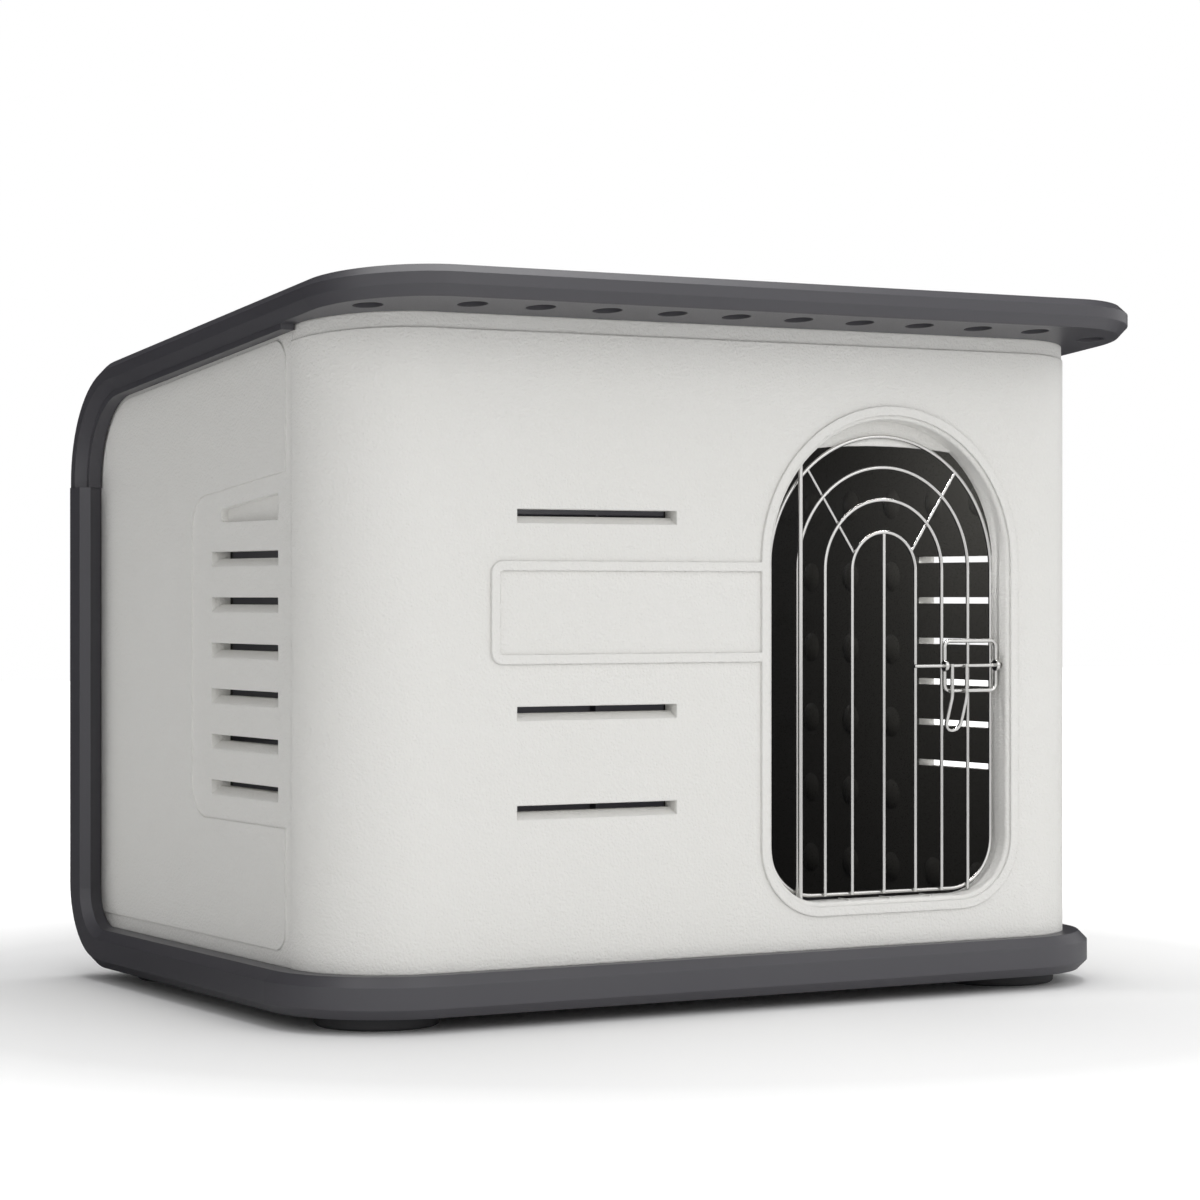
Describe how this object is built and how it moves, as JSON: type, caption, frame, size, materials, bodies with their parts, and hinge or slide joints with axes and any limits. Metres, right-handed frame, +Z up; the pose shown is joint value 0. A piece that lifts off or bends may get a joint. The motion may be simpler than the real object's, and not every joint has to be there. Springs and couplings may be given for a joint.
{
  "type": "pet kennel",
  "caption": "Moulded-plastic dog kennel: light walls with louvred vents between a dark base and sloping roof, with an arched wire door on a hinge rod and a sliding bolt.",
  "frame": {"origin": "on the ground, centre of the overall width and depth", "axes": "+Z up, the door faces -Y, +X to the right when facing +Y"},
  "size_m": [0.9454, 0.7168, 0.7136],
  "materials": {
    "light_plastic": "fine moulded grain",
    "dark_plastic": "fine moulded grain",
    "liner_plastic": "matt",
    "wire_steel": "polished stainless wire",
    "foot_rubber": "matt",
    "screw_steel": "zinc plated"
  },
  "bodies": {
    "kennel": {"base": "dark_plastic", "foot_front_left": "foot_rubber", "foot_front_right": "foot_rubber", "foot_rear_left": "foot_rubber", "foot_rear_right": "foot_rubber", "foot_screw_front_left": "screw_steel", "foot_screw_front_right": "screw_steel", "foot_screw_rear_left": "screw_steel", "foot_screw_rear_right": "screw_steel", "front_liner": "liner_plastic", "front_panel": "light_plastic", "roof": "dark_plastic", "side_liner_left": "liner_plastic", "side_liner_right": "liner_plastic", "side_panel_left": "light_plastic", "side_panel_right": "light_plastic"},
    "door": {"door_arch_inner": "wire_steel", "door_arch_middle": "wire_steel", "door_arch_outer": "wire_steel", "door_centre_wire": "wire_steel", "door_frame_wire": "wire_steel", "door_spoke_left": "wire_steel", "door_spoke_right": "wire_steel", "hinge_rod": "wire_steel", "latch_bracket": "wire_steel"},
    "latch_bolt": {"latch_bolt": "wire_steel"},
    "latch_handle": {"latch_handle": "wire_steel"}
  },
  "joints": [
    {"name": "door_hinge", "type": "hinge", "parent": "kennel", "child": "door", "pos_m": [0.07305, -0.26215, 0.1045], "axis": [0, 0, -1], "range_deg": [0, 115]},
    {"name": "bolt_slide", "type": "slide", "parent": "door", "child": "latch_bolt", "axis": [1, 0, 0], "range_m": [0, 0.034]},
    {"name": "handle_lift", "type": "hinge", "parent": "latch_bolt", "child": "latch_handle", "pos_m": [0.2656, -0.26255, 0.3373], "axis": [-1, 0, 0], "range_deg": [0, 100]}
  ],
  "couplings": [
    {"joint": "bolt_slide", "follows": "handle_lift", "m_per_rad": 0.01948}
  ]
}
